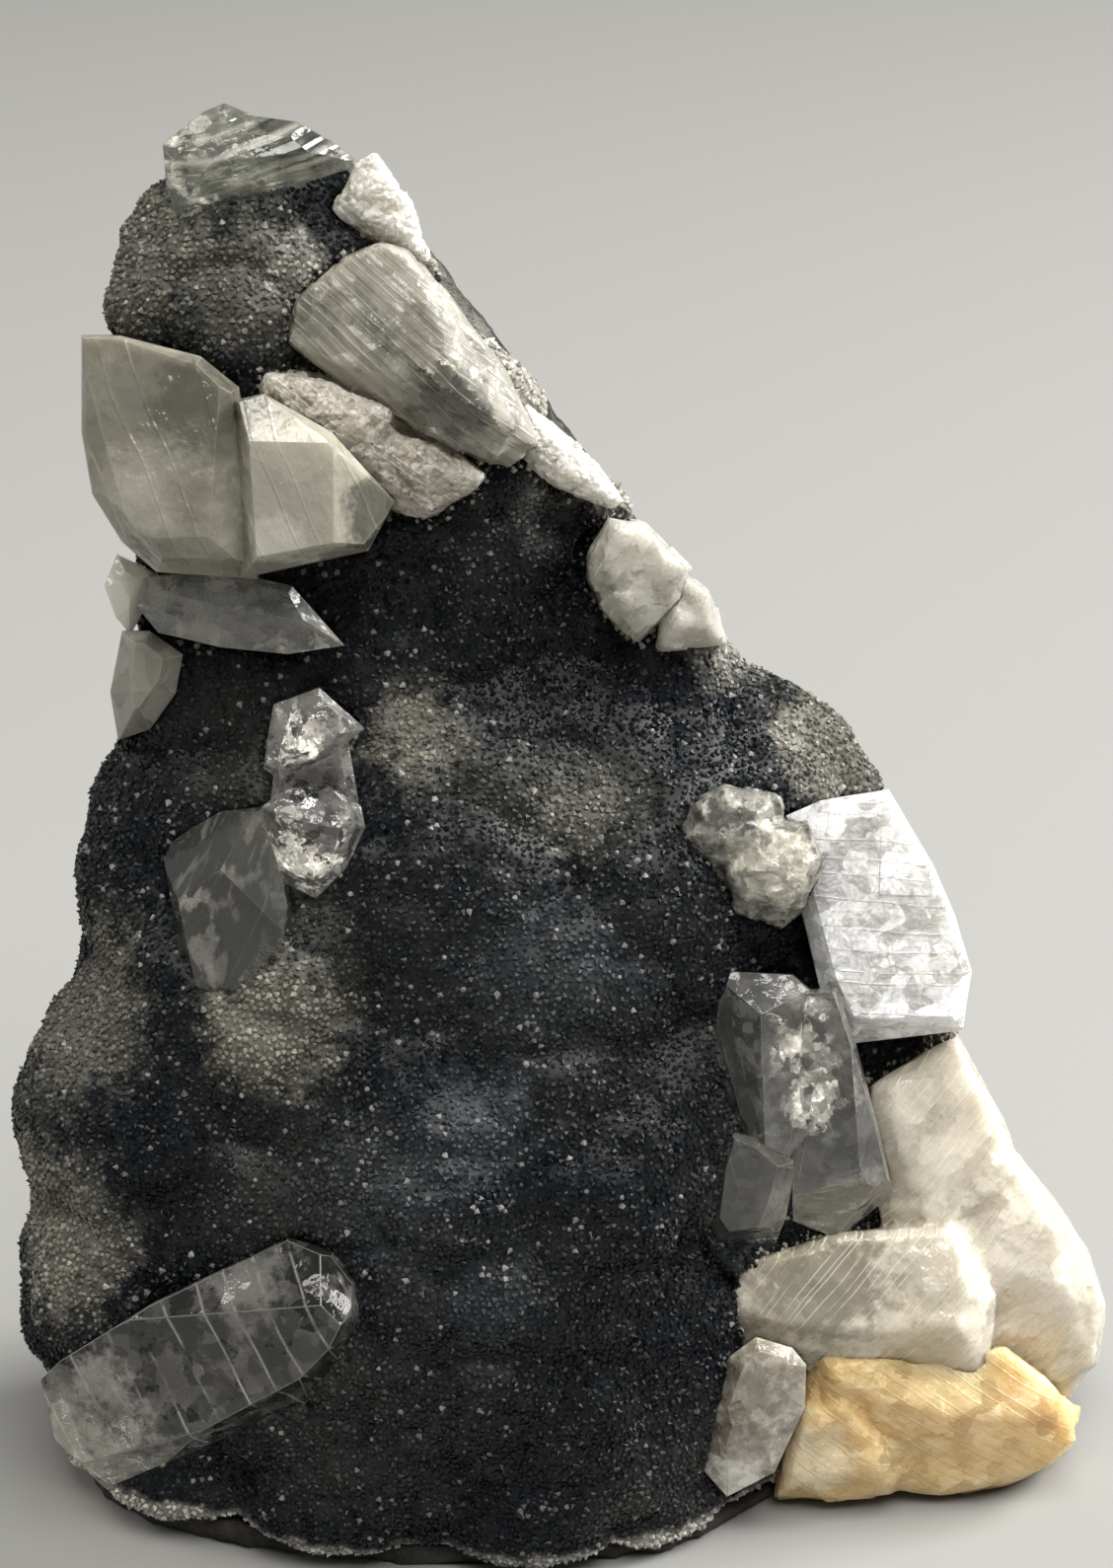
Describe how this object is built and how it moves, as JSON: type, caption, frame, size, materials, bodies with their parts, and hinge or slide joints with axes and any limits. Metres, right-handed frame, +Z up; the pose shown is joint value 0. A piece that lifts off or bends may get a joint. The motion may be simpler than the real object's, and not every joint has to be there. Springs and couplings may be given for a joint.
{
  "type": "apophyllite on chalcedony specimen",
  "caption": "Standing mineral specimen: glassy apophyllite crystals and pale and honey calcite on a dark, bubbly chalcedony crust over a basalt wedge.",
  "frame": {"origin": "middle of the specimen's bounding box, on the plane of its flat foot", "axes": "+Z up along the specimen's height, -Y towards the crystals' side, +X to the right as seen from that side"},
  "size_m": [0.0942, 0.0464, 0.1203],
  "materials": {
    "basalt": "rough brown-black stone, opaque",
    "chalcedony": "blue-black stone with a sparkling fine druse, opaque",
    "clear_apophyllite": "clear, glassy",
    "cloudy_apophyllite": "cloudy, greenish grey, glassy",
    "pearly_apophyllite": "white, pearly",
    "pale_crystal": "pale grey-cream, frosty",
    "honey_calcite": "waxy honey yellow"
  },
  "bodies": {
    "root": {"basalt_matrix": "basalt", "chalcedony_crust": "chalcedony", "crown_apophyllite": "clear_apophyllite", "shoulder_apophyllite": "cloudy_apophyllite", "flank_blade_crystal": "clear_apophyllite", "flank_wedge_crystal": "cloudy_apophyllite", "flank_lobe_crystal": "cloudy_apophyllite", "twin_apophyllite": "clear_apophyllite", "left_apophyllite": "clear_apophyllite", "middle_apophyllite_knot": "cloudy_apophyllite", "bright_apophyllite": "pearly_apophyllite", "long_apophyllite_cluster": "clear_apophyllite", "lower_left_apophyllite": "clear_apophyllite", "lower_right_apophyllite": "cloudy_apophyllite", "calcite_mass": "pale_crystal", "honey_calcite": "honey_calcite", "upper_stilbite_plate": "cloudy_apophyllite", "upper_white_block": "pale_crystal", "frosty_stilbite_fan": "pale_crystal", "rim_blade_upper": "pale_crystal", "rim_blade_lower": "pale_crystal", "rim_sugar_crust": "pale_crystal", "edge_grain_crystal": "pale_crystal"}
  },
  "joints": []
}
